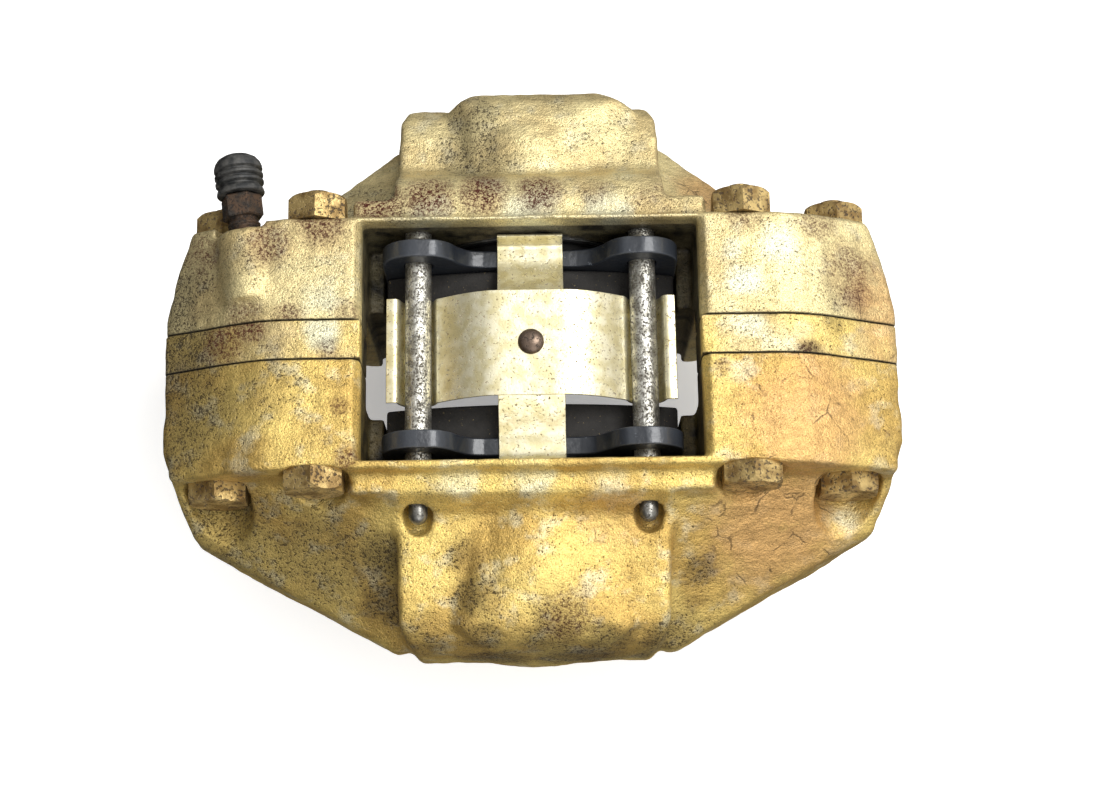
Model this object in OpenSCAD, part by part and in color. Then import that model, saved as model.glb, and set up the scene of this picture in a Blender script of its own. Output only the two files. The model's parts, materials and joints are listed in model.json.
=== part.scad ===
// Fixed two-piston brake caliper for a vented disc, split into two bolted halves with spacers.
// X runs along the caliper, Y across the disc (towards the inboard side), Z away from the axle.

/* [Disc and pads] */
// Thickness of the disc
disc_t = 24; // [20:1:28]
// Outside radius of the disc
disc_r = 140; // [132:1:160]
// Free gap on each side between the disc and a new lining
disc_gap = 3.6; // [3.2:0.1:5]
// Thickness of a new friction lining
lining_t = 11; // [9:0.5:14]
// Thickness of a pad's steel backing plate
plate_t = 5.5; // [4:0.5:7]
// Width of a pad
pad_w = 89.8; // [80:0.2:96]
// Height of a pad from the dip between its ears to its foot
pad_h = 66; // [58:1:72]
// How far each pad can move towards the disc as it wears
pad_travel = 10; // [4:0.5:10.5]

/* [Cylinders] */
// Piston diameter
piston_d = 57; // [45:1:60]
// Piston length
piston_l = 42; // [32:1:43]
// Space left in the bore behind a piston pushed fully back
back_gap = 3.3; // [2:0.1:10]
// Thickness of the cylinder floor
bore_floor = 12.6; // [8:0.1:16]
// Wall round the bore
bore_wall = 10.5; // [8:0.5:12]
// Space between a pad and the cylinder mouth, where the dust boot sits
boot_gap = 4.3; // [3.5:0.1:6]

/* [Castings] */
// Thickness of the spacer blocks between the halves
spacer_t = 12; // [8:1:14]
// Height of the end blocks above the window rim
block_rise = 5.5; // [3:0.5:8]
// Wall of the window rim
rim_t = 8.8; // [7:0.2:12]
// Gap between a pad's ears and the window's side wall
side_gap = 5.4; // [4:0.2:8]
// Distance from the window's side wall to the inner bolts
inner_bolt_in = 13.7; // [12:0.1:18]
// Distance between the inner and outer bolts along the caliper
bolt_pitch = 30.2; // [26:0.1:36]
// Distance from the outer bolts to the end of the caliper
end_margin = 16.3; // [13:0.1:22]
// Half width of the shoulders beside each cylinder
shoulder_w = 41.8; // [39:0.2:43]

/* [Fasteners] */
// Diameter of the bridge bolts
bolt_d = 10; // [8:1:12]
// Width across the flats of the bolt heads and nuts
hex_af = 17; // [14:1:19]
// Height of a bolt head
head_h = 6.5; // [5:0.5:8]
// Height of a nut
nut_h = 8; // [6:0.5:10]
// Pad pin diameter
pin_d = 8; // [6:0.5:9]
// Distance of each pad pin from the middle of the caliper
pin_x = 34; // [31:0.5:36]

/* [Mounting] */
// Distance between the two mounting holes
mount_pitch = 88.9; // [82:0.1:100]
// Diameter of the mounting holes
mount_d = 12.5; // [10:0.1:13]
// Thickness of the mounting lugs
lug_t = 19.6; // [14:0.2:24]
// Radius of the lugs round their holes
lug_r = 14; // [12:0.5:16]

/* [Spring] */
// Thickness of the spring steel
spring_t = 0.8; // [0.6:0.1:1]
// Width of the long strap
strap_w = 20; // [14:1:24]

/* [Hidden] */
$fn = 64;

slide_fit = 0.05;      // radial clearance of a sliding piston, pin or screw
loose_fit = 0.3;       // clearance between parts that only pass each other
cut_over = 60;         // how far a cut runs past the surface it opens

// Across the disc, measured from the middle plane
lining_y = disc_t / 2 + disc_gap;
plate_y = lining_y + lining_t;
plate_back_y = plate_y + plate_t;
wall_y = plate_back_y + boot_gap;
rim_y = wall_y + rim_t;
seat_y = wall_y + 1.6;
slot_y = lining_y - 0.6;
bore_end_y = plate_back_y + piston_l + back_gap;
boss_y = bore_end_y + bore_floor;
abutment_y = min(slot_y + 2, plate_y - 4);

// Along the caliper
window_x = pad_w / 2 + side_gap;
inner_bolt_x = window_x + inner_bolt_in;
outer_bolt_x = inner_bolt_x + bolt_pitch;
end_x = outer_bolt_x + end_margin;
flat_x = (inner_bolt_x + outer_bolt_x) / 2 + 1;

// Away from the axle, measured from the window rim
pin_z = -1.8 - pin_d;
ear_r = pad_w / 2 - pin_x;
dip_z = pin_z - 2;
foot_z = dip_z - pad_h;
piston_r = piston_d / 2;
boss_r = piston_r + bore_wall;
bore_z = -8 - boss_r;
floor_z = min(bore_z - 37, foot_z - 6);
disc_z = -13 - disc_r;
roof_r = disc_r + 3.5;
inner_bolt_z = -2.8;
outer_bolt_z = -18.9;
end_drop = 16;

bolt_xz = [[-outer_bolt_x, outer_bolt_z], [-inner_bolt_x, inner_bolt_z],
    [inner_bolt_x, inner_bolt_z], [outer_bolt_x, outer_bolt_z]];
bolt_hole_r = bolt_d / 2 + 0.25;
hex_r = hex_af / sqrt(3);
pocket_r = hex_r + 0.6;

passage_x = (inner_bolt_x + outer_bolt_x) / 2;
passage_z = (inner_bolt_z + outer_bolt_z) / 2;
passage_r = 2;
ring_seat_r = 5;
ring_seat_depth = 1.9;

pin_shoulder_y = rim_y - 1;
pin_tip_y = rim_y + 5;
pin_tip_r = pin_d * 0.35;
sleeve_r = pin_d / 2 + 1;
sleeve_start_y = rim_y - 3;
sleeve_l = 10;
pin_hole_end_y = sleeve_start_y + sleeve_l + 1;

boot_seat_r = piston_r + 6.7;
boot_seat_depth = 4;
seal_y = wall_y + 8;
seal_w = 3.4;
seal_depth = 2.4;

bleeder_base = [-inner_bolt_x - 21.8, seat_y - 3, -2];
bleeder_tilt = 7.5;
bleeder_r = 5;
bleeder_depth = 14;
bleeder_boss_r = 8.4;
nipple_y = 12.5;

mount_y = wall_y + lug_t;
mount_z = bore_z - 37;

spring_y = plate_y - pad_travel - 0.4;
arch_top_z = -0.8;

inlet_r = 4.45;
inlet_z = bore_z - 14;
inlet_boss_h = 3;

// Moves a sub-part from the middle of the window to the frame of the mounting holes
module place() {
    translate([0, -mount_y, -mount_z]) children();
}

// Lays a shape drawn in the XZ plane out along Y, from y0 to y1
module along_y(y0, y1) {
    translate([0, y1, 0]) rotate([90, 0, 0]) linear_extrude(y1 - y0) children();
}

// A round bar or bore along Y
module rod_y(r, y0, y1, x = 0, z = 0) {
    translate([x, y0, z]) rotate([-90, 0, 0]) cylinder(r = r, h = y1 - y0);
}

// A cone along Y
module cone_y(r0, r1, y0, y1, x = 0, z = 0) {
    translate([x, y0, z]) rotate([-90, 0, 0]) cylinder(r1 = r0, r2 = r1, h = y1 - y0);
}

// A hexagonal bar along Y with a corner up
module hex_y(r, y0, y1, x = 0, z = 0) {
    translate([x, y0, z]) rotate([-90, 0, 0]) rotate(30) cylinder(r = r, h = y1 - y0, $fn = 6);
}

// The outer half of a hexagon's chamfer
module hex_chamfered(r, y0, y1, x, z) {
    intersection() {
        hex_y(r, y0, y1, x, z);
        cone_y(r + (y1 - y0), r * 0.93, y0, y1, x, z);
    }
}

module both_sides() {
    children();
    mirror([1, 0, 0]) children();
}

// Swaps the inboard side for the outboard side
module outboard() {
    mirror([0, 1, 0]) children();
}

// Outline of the caliper seen along Y
module end_view() {
    both_sides() polygon([[0, block_rise], [flat_x, block_rise], [end_x, block_rise - end_drop],
        [end_x, -38], [end_x - 22, -58], [window_x + 4, floor_z], [0, floor_z]]);
}

// The same outline, above the disc's path only
module bridge_view() {
    difference() {
        end_view();
        translate([0, disc_z]) circle(r = roof_r, $fn = 180);
        translate([-window_x, -500]) square([2 * window_x, 1000]);
    }
}

module disc_path() {
    rod_y(roof_r, -slot_y, slot_y, 0, disc_z, $fn = 180);
}

// The open space that holds the pads, on one side of the disc
module pad_space() {
    translate([-window_x, -1, -500]) cube([2 * window_x, wall_y + 1, 1000]);
}

// Shoulders that take the pads' push along the caliper
module abutments() {
    ledge_x = pad_w / 2 + 0.5;
    both_sides() translate([ledge_x, abutment_y, foot_z - 2])
        cube([window_x - ledge_x + 1, wall_y - abutment_y + 1, -26 - foot_z + 2]);
}

// A block over the cylinder, falling from the window rim to a rounded end
module boss_top(x0, x1, end_y, top_z) {
    translate([x0, 0, 0]) rotate([90, 0, 90]) linear_extrude(x1 - x0)
        polygon([[wall_y, bore_z - 6], [wall_y, 0], [rim_y, 0], [rim_y + 5.5, -10],
            [end_y - 14, top_z], [end_y - 7, top_z - 2.6], [end_y - 3, top_z - 6.5],
            [end_y, top_z - 20], [end_y - 0.6, bore_z - 6]]);
}

// The cylinder's boss: a tapered end, square shoulders beside it and a hump on top
module boss(shoulder_in) {
    rod_y(boss_r, wall_y, boss_y - 20, 0, bore_z);
    cone_y(boss_r, boss_r - 6, boss_y - 20, boss_y - 9, 0, bore_z);
    cone_y(boss_r - 6, boss_r - 22, boss_y - 9, boss_y, 0, bore_z);
    boss_top(-shoulder_w, shoulder_w, boss_y - shoulder_in, -13.8);
    boss_top(-20.5, 27, boss_y - 1, -11);
    along_y(wall_y, rim_y) intersection() {
        end_view();
        translate([-window_x - 1, -200]) square([2 * window_x + 2, 200]);
    }
}

// Everything below a plane through a point, falling by out along X and by ahead along Y
module below_slope(point, out, ahead) {
    reach = 300;
    fall = reach * sqrt(out * out + ahead * ahead);
    translate(point) rotate([0, 0, -atan2(out, ahead)]) translate([-reach, 0, 0])
        rotate([90, 0, 90]) linear_extrude(2 * reach)
            polygon([[-reach, fall], [reach, -fall], [-reach, -fall]]);
}

// The sloping webs between the end blocks and the boss: their plan seen from above, and
// the height, outward fall and forward fall of their top beside the inner bolts
module webs(plan, top_z, out, ahead) {
    both_sides() intersection() {
        translate([0, 0, -60]) linear_extrude(80) polygon(plan);
        below_slope([inner_bolt_x, seat_y + 1, top_z], out, ahead);
        along_y(0, boss_y) end_view();
    }
}

// What every half has cut out of it
module half_cuts() {
    pad_space();
    disc_path();
    for (p = bolt_xz) rod_y(bolt_hole_r, 0, seat_y + 1, p[0], p[1]);
    both_sides() {
        rod_y(passage_r, 0, spacer_t / 2 + 14, passage_x, passage_z);
        rod_y(ring_seat_r, 0, spacer_t / 2 + ring_seat_depth, passage_x, passage_z);
    }
}

// The cylinder bore with its seal groove and the seat of its dust boot
module cylinder_cuts() {
    rod_y(piston_r, wall_y - 1, bore_end_y, 0, bore_z);
    rod_y(boot_seat_r, wall_y - 1, wall_y + boot_seat_depth, 0, bore_z);
    rod_y(piston_r + seal_depth, seal_y, seal_y + seal_w, 0, bore_z);
}

// The end blocks up to a depth, with their far corners drawn in
module blocks(depth, corner_in) {
    intersection() {
        along_y(spacer_t / 2, depth) end_view();
        translate([0, 0, -200]) linear_extrude(300) both_sides() polygon([[0, 0], [end_x, 0],
            [end_x, 12], [end_x - corner_in * 0.4, depth - 12], [end_x - corner_in, depth], [0, depth]]);
    }
}

module bleeder_frame() {
    translate(bleeder_base) rotate([0, 0, bleeder_tilt]) children();
}

module lugs() {
    along_y(wall_y, mount_y) both_sides() {
        translate([mount_pitch / 2, mount_z]) circle(r = lug_r);
        polygon([[0, mount_z - lug_r + 4], [mount_pitch / 2, mount_z - lug_r],
            [mount_pitch / 2 + lug_r, mount_z], [mount_pitch / 2 + lug_r, mount_z + 26],
            [0, mount_z + 26]]);
    }
}

module inboard_housing() {
    color("goldenrod") place() difference() {
        union() {
            difference() {
                union() {
                    blocks(seat_y, 7);
                    boss(5.6);
                    webs([[shoulder_w - 1, seat_y - 10], [inner_bolt_x + 18, seat_y - 10],
                        [inner_bolt_x + 18, seat_y], [inner_bolt_x + 12, seat_y + 6],
                        [shoulder_w - 1, rim_y + 25]], -14, 0.3, 0.75);
                }
                half_cuts();
            }
            intersection() {
                abutments();
                along_y(0, rim_y) end_view();
            }
            lugs();
            rod_y(inlet_r + 5, boss_y - 6, boss_y + inlet_boss_h, 0, inlet_z);
            bleeder_frame() rod_y(bleeder_boss_r, -20, 0);
        }
        for (s = [-1, 1]) {
            rod_y(pin_d / 2 + slide_fit, 0, sleeve_start_y + 1, s * pin_x, pin_z);
            rod_y(sleeve_r + 0.02, sleeve_start_y, pin_hole_end_y, s * pin_x, pin_z);
            rod_y(mount_d / 2, wall_y - 1, mount_y + 1, s * mount_pitch / 2, mount_z);
            rod_y(mount_d / 2 + 7, mount_y, mount_y + cut_over, s * mount_pitch / 2, mount_z);
        }
        rod_y(inlet_r, bore_end_y - 1, boss_y + inlet_boss_h + 1, 0, inlet_z);
        bleeder_frame() rod_y(bleeder_r + slide_fit, -bleeder_depth - 1, 1);
        bleeder_frame() rod_y(bleeder_boss_r + 0.6, 0, cut_over);
        cylinder_cuts();
        for (p = bolt_xz) rod_y(pocket_r, seat_y, seat_y + cut_over, p[0], p[1]);
    }
}

module outboard_housing() {
    color("goldenrod") place() outboard() difference() {
        union() {
            difference() {
                union() {
                    blocks(seat_y + 1.2, 2.5);
                    boss(1);
                    webs([[shoulder_w - 1, seat_y - 10], [end_x, seat_y - 10],
                        [end_x - 7.5, rim_y + 8], [shoulder_w + 24, boss_y - 16],
                        [shoulder_w, boss_y - 4], [shoulder_w - 1, boss_y - 4]], -5.5, 0.3, 0.92);
                }
                half_cuts();
            }
            intersection() {
                abutments();
                along_y(0, rim_y) end_view();
            }
        }
        for (s = [-1, 1]) {
            rod_y(pin_d / 2 + slide_fit, 0, pin_shoulder_y + 0.5, s * pin_x, pin_z);
            rod_y(pin_tip_r + 0.5, 0, pin_tip_y + 3.5, s * pin_x, pin_z);
        }
        cylinder_cuts();
        for (p = bolt_xz) rod_y(pocket_r, seat_y, seat_y + cut_over, p[0], p[1]);
    }
}

module spacer(side) {
    color("goldenrod") place() difference() {
        along_y(-spacer_t / 2, spacer_t / 2) intersection() {
            bridge_view();
            translate([side > 0 ? 0 : -500, -500]) square([500, 1000]);
        }
        for (p = bolt_xz) rod_y(bolt_hole_r, -spacer_t, spacer_t, p[0], p[1]);
        rod_y(passage_r, -spacer_t, spacer_t, side * passage_x, passage_z);
    }
}

module left_spacer() {
    spacer(-1);
}

module right_spacer() {
    spacer(1);
}

module bridge_bolts() {
    color("khaki") place() for (p = bolt_xz) {
        outboard() hex_chamfered(hex_r, seat_y, seat_y + head_h, p[0], p[1]);
        rod_y(bolt_d / 2, -seat_y - 1, seat_y + nut_h + 1.4, p[0], p[1]);
        cone_y(bolt_d / 2, bolt_d / 2 - 1, seat_y + nut_h + 1.4, seat_y + nut_h + 2.4, p[0], p[1]);
    }
}

module bridge_nuts() {
    color("khaki") place() for (p = bolt_xz) difference() {
        hex_chamfered(hex_r, seat_y, seat_y + nut_h, p[0], p[1]);
        rod_y(bolt_d / 2, seat_y - 1, seat_y + nut_h + 1, p[0], p[1]);
    }
}

// Hollow piston, open towards its pad
module piston() {
    wall = 6.5;
    groove_y = plate_back_y + 2;
    difference() {
        rod_y(piston_r - slide_fit, plate_back_y + 0.1, plate_back_y + piston_l, 0, bore_z);
        rod_y(piston_r - wall, plate_back_y, plate_back_y + piston_l - 10, 0, bore_z);
        difference() {
            rod_y(piston_r + 1, groove_y, groove_y + 2.4, 0, bore_z);
            rod_y(piston_r - 1.4, groove_y - 1, groove_y + 4, 0, bore_z);
        }
    }
}

module piston_seal() {
    difference() {
        rod_y(piston_r + seal_depth - 0.02, seal_y + 0.1, seal_y + seal_w - 0.1, 0, bore_z);
        rod_y(piston_r, seal_y - 1, seal_y + seal_w + 1, 0, bore_z);
    }
}

// Folded rubber boot between the cylinder mouth and the piston
module dust_boot() {
    lip_r = piston_r + loose_fit;
    bead_r = boot_seat_r - 1.8;
    y0 = plate_back_y + 0.5;
    y1 = wall_y + boot_seat_depth - 0.1;
    translate([0, 0, bore_z]) rotate([-90, 0, 0]) rotate_extrude()
        polygon([[lip_r, y0], [lip_r + 1.6, y0], [lip_r + 1.6, wall_y + 1.2], [bead_r - 1.6, wall_y + 1.2],
            [bead_r - 1.6, wall_y - 0.4], [bead_r, wall_y - 0.4], [bead_r, y1], [lip_r + 2.6, y1],
            [lip_r + 2.6, wall_y + 2.6], [lip_r, wall_y + 2.6]]);
}

module boot_ring() {
    difference() {
        rod_y(boot_seat_r - 0.02, wall_y - 0.4, wall_y + 2.6, 0, bore_z);
        rod_y(boot_seat_r - 1.7, wall_y - 2, wall_y + 4, 0, bore_z);
    }
}

module inboard_piston() {
    color("lightsteelblue") place() piston();
}

module outboard_piston() {
    color("lightsteelblue") place() outboard() piston();
}

module inboard_piston_seal() {
    color("dimgray") place() piston_seal();
}

module outboard_piston_seal() {
    color("dimgray") place() outboard() piston_seal();
}

module inboard_dust_boot() {
    color("black") place() dust_boot();
}

module outboard_dust_boot() {
    color("black") place() outboard() dust_boot();
}

module inboard_boot_ring() {
    color("silver") place() boot_ring();
}

module outboard_boot_ring() {
    color("silver") place() outboard() boot_ring();
}

// Steel plate with an ear at each end, hung on the pad pins
module backing_plate() {
    foot_chamfer = 10;
    side_x = pad_w / 2 - 0.3;
    difference() {
        union() {
            along_y(plate_y, plate_back_y) both_sides() polygon([[-1, dip_z],
                [pin_x - ear_r - 3, dip_z], [pin_x - ear_r + 1.5, dip_z + 2.2], [pin_x, pin_z + 2],
                [side_x, pin_z + 1], [side_x, foot_z + foot_chamfer],
                [side_x - foot_chamfer, foot_z], [-1, foot_z]]);
            for (x = [-pin_x, pin_x]) rod_y(ear_r, plate_y, plate_back_y, x, pin_z);
        }
        for (x = [-pin_x, pin_x]) rod_y(pin_d / 2 + loose_fit, plate_y - 1, plate_back_y + 1, x, pin_z);
    }
}

// Friction block, its top edge following the disc's rim
module lining() {
    side_in = 0.6;
    foot_in = 2;
    along_y(lining_y, plate_y) intersection() {
        translate([0, disc_z]) circle(r = disc_r - 1.5, $fn = 180);
        translate([-pad_w / 2 + side_in, foot_z + foot_in]) square([pad_w - 2 * side_in, pad_h]);
    }
}

module inboard_backing_plate() {
    color("darkslategray") place() backing_plate();
}

module outboard_backing_plate() {
    color("darkslategray") place() outboard() backing_plate();
}

module inboard_lining() {
    color("dimgray") place() lining();
}

module outboard_lining() {
    color("dimgray") place() outboard() lining();
}

module pad_pin(x) {
    color("slategray") place() {
        rod_y(pin_d / 2, -pin_shoulder_y, sleeve_start_y + sleeve_l, x, pin_z);
        rod_y(pin_tip_r, -pin_tip_y, -pin_shoulder_y + 1, x, pin_z);
        intersection() {
            translate([x, -pin_tip_y, pin_z]) sphere(r = pin_tip_r);
            rod_y(pin_tip_r + 1, -pin_tip_y - cut_over, -pin_tip_y + 1, x, pin_z);
        }
    }
}

module left_pad_pin() {
    pad_pin(-pin_x);
}

module right_pad_pin() {
    pad_pin(pin_x);
}

// Split sleeves that hold the pins in the inboard half
module pin_sleeves() {
    slit = 1;
    color("silver") place() for (x = [-pin_x, pin_x]) difference() {
        rod_y(sleeve_r, sleeve_start_y + 0.1, sleeve_start_y + sleeve_l, x, pin_z);
        rod_y(pin_d / 2, sleeve_start_y - 1, sleeve_start_y + sleeve_l + 1, x, pin_z);
        translate([x - slit / 2, sleeve_start_y - 1, pin_z]) cube([slit, sleeve_l + 2, sleeve_r + 1]);
    }
}

// A bent strip: its mid-line given by points, its thickness measured across
module strip(line, t) {
    last = len(line) - 1;
    function side_step(i) = let (
        a = line[max(i - 1, 0)],
        b = line[min(i + 1, last)],
        d = (b - a) / norm(b - a)
    ) [-d[1], d[0]] * t / 2;
    upper = [for (i = [0:last]) line[i] + side_step(i)];
    lower = [for (i = [last:-1:0]) line[i] - side_step(i)];
    polygon(concat(upper, lower));
}

// Half of the arched bridge, from its flat middle to the curl outside a pad pin
function bridge_line() = let (
    flat_w = strap_w / 2 + 0.6,
    pin_r = pin_d / 2,
    arch_w = pin_x - pin_r - 1.6,
    arch_h = 8.6,
    under_z = pin_z - pin_r - 0.4 - spring_t / 2,
    top_z = arch_top_z - spring_t / 2
) concat(
    [[0, top_z]],
    [for (i = [0:7]) let (t = i / 7) [flat_w + (arch_w - flat_w) * t, top_z - arch_h * pow(t, 1.6)]],
    [[pin_x - 0.9 * pin_r, under_z + 0.3 * pin_r], [pin_x, under_z - 0.2],
        [pin_x + pin_r - 0.6, under_z + 0.1], [pin_x + pin_r + 1.4, under_z + 2.6],
        [pin_x + pin_r + 2.1, under_z + 5], [pin_x + pin_r + 3.2, under_z + 5.9],
        [pin_x + pin_r + 5.6, under_z + 5.6]]);

module spring_bridge() {
    half = bridge_line();
    left = [for (i = [len(half) - 1:-1:1]) [-half[i][0], half[i][1]]];
    color("palegoldenrod") place() difference() {
        along_y(-spring_y, spring_y) strip(concat(left, half), spring_t);
        translate([0, 0, -10]) cylinder(r = 2, h = 20);
    }
}

module spring_strap() {
    over_z = dip_z + 0.6 + spring_t / 2;
    mid_z = arch_top_z - 1.5 * spring_t - 0.06;
    half = [[0, mid_z], [4, mid_z], [10, mid_z - 0.8], [spring_y, mid_z - 3.2],
        [plate_y - 1, over_z], [plate_back_y + 0.6, over_z], [wall_y - 1.2, over_z + 4.4]];
    left = [for (i = [len(half) - 1:-1:1]) [-half[i][0], half[i][1]]];
    color("palegoldenrod") place() difference() {
        translate([-strap_w / 2, 0, 0]) rotate([90, 0, 90]) linear_extrude(strap_w)
            strip(concat(left, half), spring_t);
        translate([0, 0, -10]) cylinder(r = 2, h = 20);
    }
}

module spring_rivet() {
    head_r = 3.9;
    head_rise = 1.9;
    ball_r = (head_r * head_r + head_rise * head_rise) / (2 * head_rise);
    foot_z0 = arch_top_z - 2 * spring_t - 1.6;
    color("dimgray") place() {
        intersection() {
            translate([0, 0, arch_top_z + 0.02 + head_rise - ball_r]) sphere(r = ball_r);
            translate([0, 0, arch_top_z + 0.02]) cylinder(r = head_r, h = 5);
        }
        translate([0, 0, foot_z0]) cylinder(r = 1.98, h = arch_top_z + 0.1 - foot_z0);
        translate([0, 0, foot_z0]) cylinder(r = 3.4, h = 1.4);
    }
}

module bleeder_screw() {
    hex_af_b = 11;
    color("dimgray") place() bleeder_frame() difference() {
        union() {
            rod_y(bleeder_r, -bleeder_depth + 3, 5);
            cone_y(2, bleeder_r, -bleeder_depth, -bleeder_depth + 3);
            hex_y(hex_af_b / sqrt(3), 5, nipple_y - 0.2);
            rod_y(3.2, nipple_y - 0.3, nipple_y + 7);
            cone_y(3.9, 3, nipple_y + 7, nipple_y + 9.5);
        }
        rod_y(1, -bleeder_depth + 5, nipple_y + 12);
    }
}

module bleeder_cap() {
    cap_l = 13.2;
    color("darkslategray") place() bleeder_frame() difference() {
        union() {
            rod_y(7.4, nipple_y, nipple_y + cap_l - 3.4);
            cone_y(7.4, 4, nipple_y + cap_l - 3.4, nipple_y + cap_l);
        }
        rod_y(4.2, nipple_y - 1, nipple_y + 10);
    }
}

module passage_seals() {
    ring_r = 0.85;
    color("black") place() for (x = [-passage_x, passage_x], s = [-1, 1])
        translate([x, s * (spacer_t / 2 + ring_seat_depth / 2), passage_z]) rotate([90, 0, 0])
            rotate_extrude() translate([ring_seat_r - ring_r - 0.1, 0]) circle(r = ring_r);
}

inboard_housing();
outboard_housing();
left_spacer();
right_spacer();
bridge_bolts();
bridge_nuts();
inboard_piston();
outboard_piston();
inboard_piston_seal();
outboard_piston_seal();
inboard_dust_boot();
outboard_dust_boot();
inboard_boot_ring();
outboard_boot_ring();
inboard_backing_plate();
outboard_backing_plate();
inboard_lining();
outboard_lining();
left_pad_pin();
right_pad_pin();
pin_sleeves();
spring_bridge();
spring_strap();
spring_rivet();
bleeder_screw();
bleeder_cap();
passage_seals();
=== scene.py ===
import json
import math
from functools import partial
import bpy
import bmesh
from mathutils import Matrix, Vector


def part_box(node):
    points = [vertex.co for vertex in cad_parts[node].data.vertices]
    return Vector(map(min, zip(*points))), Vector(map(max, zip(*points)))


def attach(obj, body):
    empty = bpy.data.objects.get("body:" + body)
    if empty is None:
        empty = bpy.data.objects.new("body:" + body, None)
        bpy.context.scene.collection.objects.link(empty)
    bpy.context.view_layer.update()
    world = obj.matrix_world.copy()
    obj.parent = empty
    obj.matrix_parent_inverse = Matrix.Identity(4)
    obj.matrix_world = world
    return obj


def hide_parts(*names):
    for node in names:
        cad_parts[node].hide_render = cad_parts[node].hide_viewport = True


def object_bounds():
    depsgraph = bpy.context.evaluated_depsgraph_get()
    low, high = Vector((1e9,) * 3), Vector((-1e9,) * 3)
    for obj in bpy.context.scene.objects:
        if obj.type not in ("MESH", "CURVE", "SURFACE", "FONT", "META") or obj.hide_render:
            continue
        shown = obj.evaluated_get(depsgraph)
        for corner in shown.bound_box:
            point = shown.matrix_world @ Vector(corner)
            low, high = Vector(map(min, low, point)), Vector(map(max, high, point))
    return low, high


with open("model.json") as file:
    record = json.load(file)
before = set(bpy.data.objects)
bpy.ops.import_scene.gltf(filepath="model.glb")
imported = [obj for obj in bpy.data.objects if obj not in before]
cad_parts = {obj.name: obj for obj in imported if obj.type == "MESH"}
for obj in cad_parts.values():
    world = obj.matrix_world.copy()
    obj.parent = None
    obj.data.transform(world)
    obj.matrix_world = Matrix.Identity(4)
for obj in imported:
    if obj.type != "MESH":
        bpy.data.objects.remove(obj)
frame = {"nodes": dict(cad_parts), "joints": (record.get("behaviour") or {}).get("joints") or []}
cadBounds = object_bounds()
mm = 0.001

# Millimetres below are counted from the middle of the pad window, at the height of its rim.
# x runs along the caliper, y towards the inboard side and z away from the axle.
spacerLow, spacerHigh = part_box("left_spacer")
blockRise = 5.5  # the end blocks stand this far above the rim
origin = Vector((0, (spacerLow.y + spacerHigh.y) / 2, spacerHigh.z - blockRise * mm))


def nodeBox(name):
    low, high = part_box(name)
    return (low - origin) / mm, (high - origin) / mm


def nodeIslands(name):
    # middle of each loose part of a CAD node, left to right
    bm = bmesh.new()
    bm.from_mesh(frame["nodes"][name].data)
    bmesh.ops.remove_doubles(bm, verts=bm.verts, dist=0.00001)
    left, middles = set(bm.verts), []
    while left:
        island, queue = [], [left.pop()]
        while queue:
            vert = queue.pop()
            island.append(vert.co.copy())
            for edge in vert.link_edges:
                other = edge.other_vert(vert)
                if other in left:
                    left.remove(other)
                    queue.append(other)
        low = Vector([min(co[i] for co in island) for i in range(3)])
        high = Vector([max(co[i] for co in island) for i in range(3)])
        middles.append(((low + high) / 2 - origin) / mm)
    bm.free()
    return sorted(middles, key=lambda middle: middle.x)


windowX = nodeBox("right_spacer")[0].x
endX = nodeBox("right_spacer")[1].x
spacerHalf = nodeBox("right_spacer")[1].y
plateLow, plateHigh = nodeBox("inboard_backing_plate")
wallY = nodeBox("inboard_boot_ring")[0].y + 0.4
pistonLow, pistonHigh = nodeBox("inboard_piston")
pistonR = (pistonHigh.x - pistonLow.x) / 2
boreZ = (pistonHigh.z + pistonLow.z) / 2
pinX, pinZ = nodeBox("right_pad_pin")[0].x + 4, nodeBox("right_pad_pin")[0].z + 4
nutBolts = nodeIslands("bridge_nuts")
seatY = nodeBox("bridge_nuts")[0].y
lugZ = -origin.z / mm
lugY = -origin.y / mm
print("frame loaded, window half width", round(windowX, 1), "mm, piston radius", round(pistonR, 1), "mm")


# mesh helpers

def newObject(name, bm, smooth=False):
    bmesh.ops.recalc_face_normals(bm, faces=bm.faces)
    mesh = bpy.data.meshes.new(name)
    bm.to_mesh(mesh)
    bm.free()
    for face in mesh.polygons:
        face.use_smooth = smooth
    obj = bpy.data.objects.new(name, mesh)
    bpy.context.scene.collection.objects.link(obj)
    return obj


def place(point):
    return origin + Vector(point) * mm


def slab(outline, plane, low, high, flipY=1, bm=None):
    # a flat outline pushed through the third direction, in millimetres
    bm = bm or bmesh.new()
    rings = []
    for depth in (low, high):
        ring = []
        for a, b in outline:
            point = {"xz": (a, depth, b), "xy": (a, b, depth), "yz": (depth, a, b)}[plane]
            ring.append(bm.verts.new(place((point[0], point[1] * flipY, point[2]))))
        rings.append(ring)
    count = len(outline)
    bm.faces.new(rings[0])
    bm.faces.new(rings[1])
    for i in range(count):
        j = (i + 1) % count
        bm.faces.new((rings[0][i], rings[0][j], rings[1][j], rings[1][i]))
    return bm


def turned(profile, centre, axis=(0, 1, 0), segments=64, bm=None):
    # a profile of (radius, distance) turned round an axis; both its ends are closed
    bm = bm or bmesh.new()
    turn = Vector((0, 0, 1)).rotation_difference(Vector(axis)).to_matrix()
    rings = []
    for radius, along in profile:
        ring = []
        for i in range(segments):
            angle = 2 * math.pi * i / segments
            local = turn @ Vector((radius * math.cos(angle), radius * math.sin(angle), along))
            ring.append(bm.verts.new(place(Vector(centre) + local)))
        rings.append(ring)
    for lower, upper in zip(rings, rings[1:]):
        for i in range(segments):
            j = (i + 1) % segments
            bm.faces.new((lower[i], lower[j], upper[j], upper[i]))
    bm.faces.new(rings[0])
    bm.faces.new(rings[-1])
    return bm


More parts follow.
